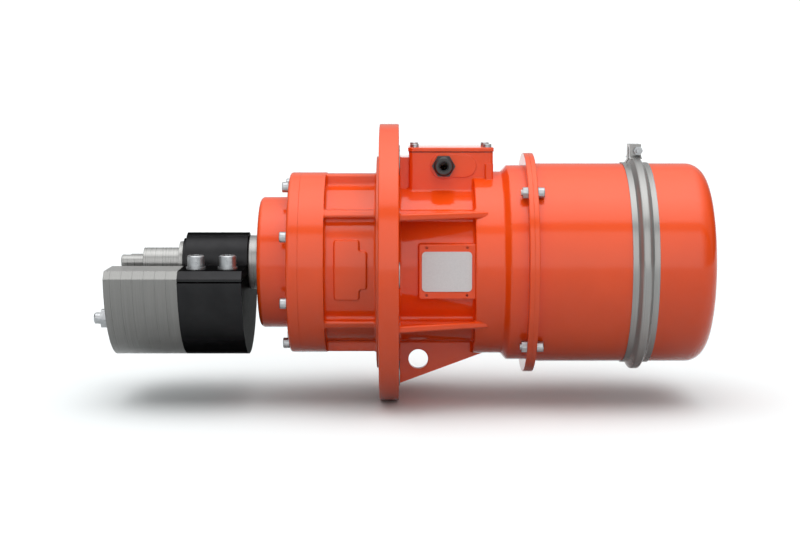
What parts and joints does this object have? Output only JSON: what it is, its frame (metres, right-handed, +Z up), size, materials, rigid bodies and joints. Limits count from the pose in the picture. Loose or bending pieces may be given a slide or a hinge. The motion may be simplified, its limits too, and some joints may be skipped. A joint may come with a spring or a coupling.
{
  "type": "vibration motor",
  "caption": "Flange-mounted vibration motor with open eccentric weights at one shaft end, a covered set at the other, and a terminal box with a cable gland on top.",
  "frame": {"origin": "centre of the mounting flange's bolt circle, on the machined mounting face", "axes": "+X along the shaft towards the end cap, +Z up through the terminal box, -Y the gland side"},
  "size_m": [0.7607, 0.35, 0.3499],
  "materials": {
    "orange_paint": "semi-gloss orange powder coat",
    "machined_steel": "machined bare steel",
    "zinc_steel": "bright zinc plate",
    "black_finish": "black satin coating",
    "ground_steel": "cut steel plate, brushed",
    "rubber": "matte black rubber",
    "black_plastic": "black moulded nylon",
    "copper": "enamelled copper wire",
    "moulded_board": "brown moulded resin",
    "plate_metal": "bare satin plate",
    "laminations": "stacked electrical sheet",
    "cast_aluminium": "cast aluminium",
    "stainless": "rolled stainless strip",
    "brass": "plain brass"
  },
  "bodies": {
    "casing": {"motor_casing": "orange_paint", "left_bearing_flange": "orange_paint", "right_bearing_flange": "orange_paint", "left_flange_screws": "zinc_steel", "right_flange_screws": "zinc_steel", "stator_core": "laminations", "stator_windings": "copper", "left_bearing_outer_ring": "machined_steel", "right_bearing_outer_ring": "machined_steel", "left_shaft_seal": "rubber", "right_shaft_seal": "rubber", "nameplate": "plate_metal", "terminal_board": "moulded_board", "terminal_studs": "brass", "terminal_nuts": "brass", "earth_screw": "zinc_steel", "gland_body": "black_plastic", "gland_nut": "black_plastic", "gland_seal": "rubber", "weight_cover": "orange_paint", "cover_screws": "zinc_steel", "cover_nuts": "zinc_steel"},
    "rotor": {"rotor_shaft": "machined_steel", "rotor_core": "laminations", "rotor_cage_rings": "cast_aluminium", "left_bearing_inner_ring": "machined_steel", "right_bearing_inner_ring": "machined_steel", "left_bearing_rollers": "machined_steel", "right_bearing_rollers": "machined_steel", "left_spacer_sleeve": "machined_steel", "right_spacer_sleeve": "machined_steel", "left_stop_ring": "machined_steel", "right_stop_ring": "machined_steel"},
    "left_weights": {"left_clamp_weight": "black_finish", "left_clamp_washers": "zinc_steel", "left_clamp_screws": "zinc_steel", "left_grub_screw": "zinc_steel", "left_weight_plates": "ground_steel", "left_weight_studs": "zinc_steel", "left_weight_nuts": "zinc_steel"},
    "right_weights": {"right_clamp_weight": "black_finish", "right_clamp_washers": "zinc_steel", "right_clamp_screws": "zinc_steel", "right_grub_screw": "zinc_steel", "right_weight_plates": "ground_steel", "right_weight_studs": "zinc_steel", "right_weight_nuts": "zinc_steel"},
    "cap": {"end_cap": "orange_paint", "cap_seal": "rubber", "band_clamp": "stainless", "band_bolt": "zinc_steel", "band_nut": "zinc_steel"},
    "lid": {"terminal_lid": "orange_paint", "lid_gasket": "rubber", "lid_screws": "zinc_steel"}
  },
  "joints": [
    {"name": "rotor_spin", "type": "hinge", "parent": "casing", "child": "rotor", "pos_m": [0.0206, 0, 0], "axis": [1, 0, 0], "continuous": true},
    {"name": "left_weight_phase", "type": "hinge", "parent": "rotor", "child": "left_weights", "pos_m": [-0.2, 0, 0], "axis": [1, 0, 0], "range_deg": [-90, 90]},
    {"name": "right_weight_phase", "type": "hinge", "parent": "rotor", "child": "right_weights", "pos_m": [0.2412, 0, 0], "axis": [1, 0, 0], "range_deg": [-90, 90]},
    {"name": "cap_slide", "type": "slide", "parent": "casing", "child": "cap", "axis": [1, 0, 0], "range_m": [0, 0.12]},
    {"name": "lid_lift", "type": "slide", "parent": "casing", "child": "lid", "axis": [0, 0, 1], "range_m": [0, 0.06]}
  ]
}
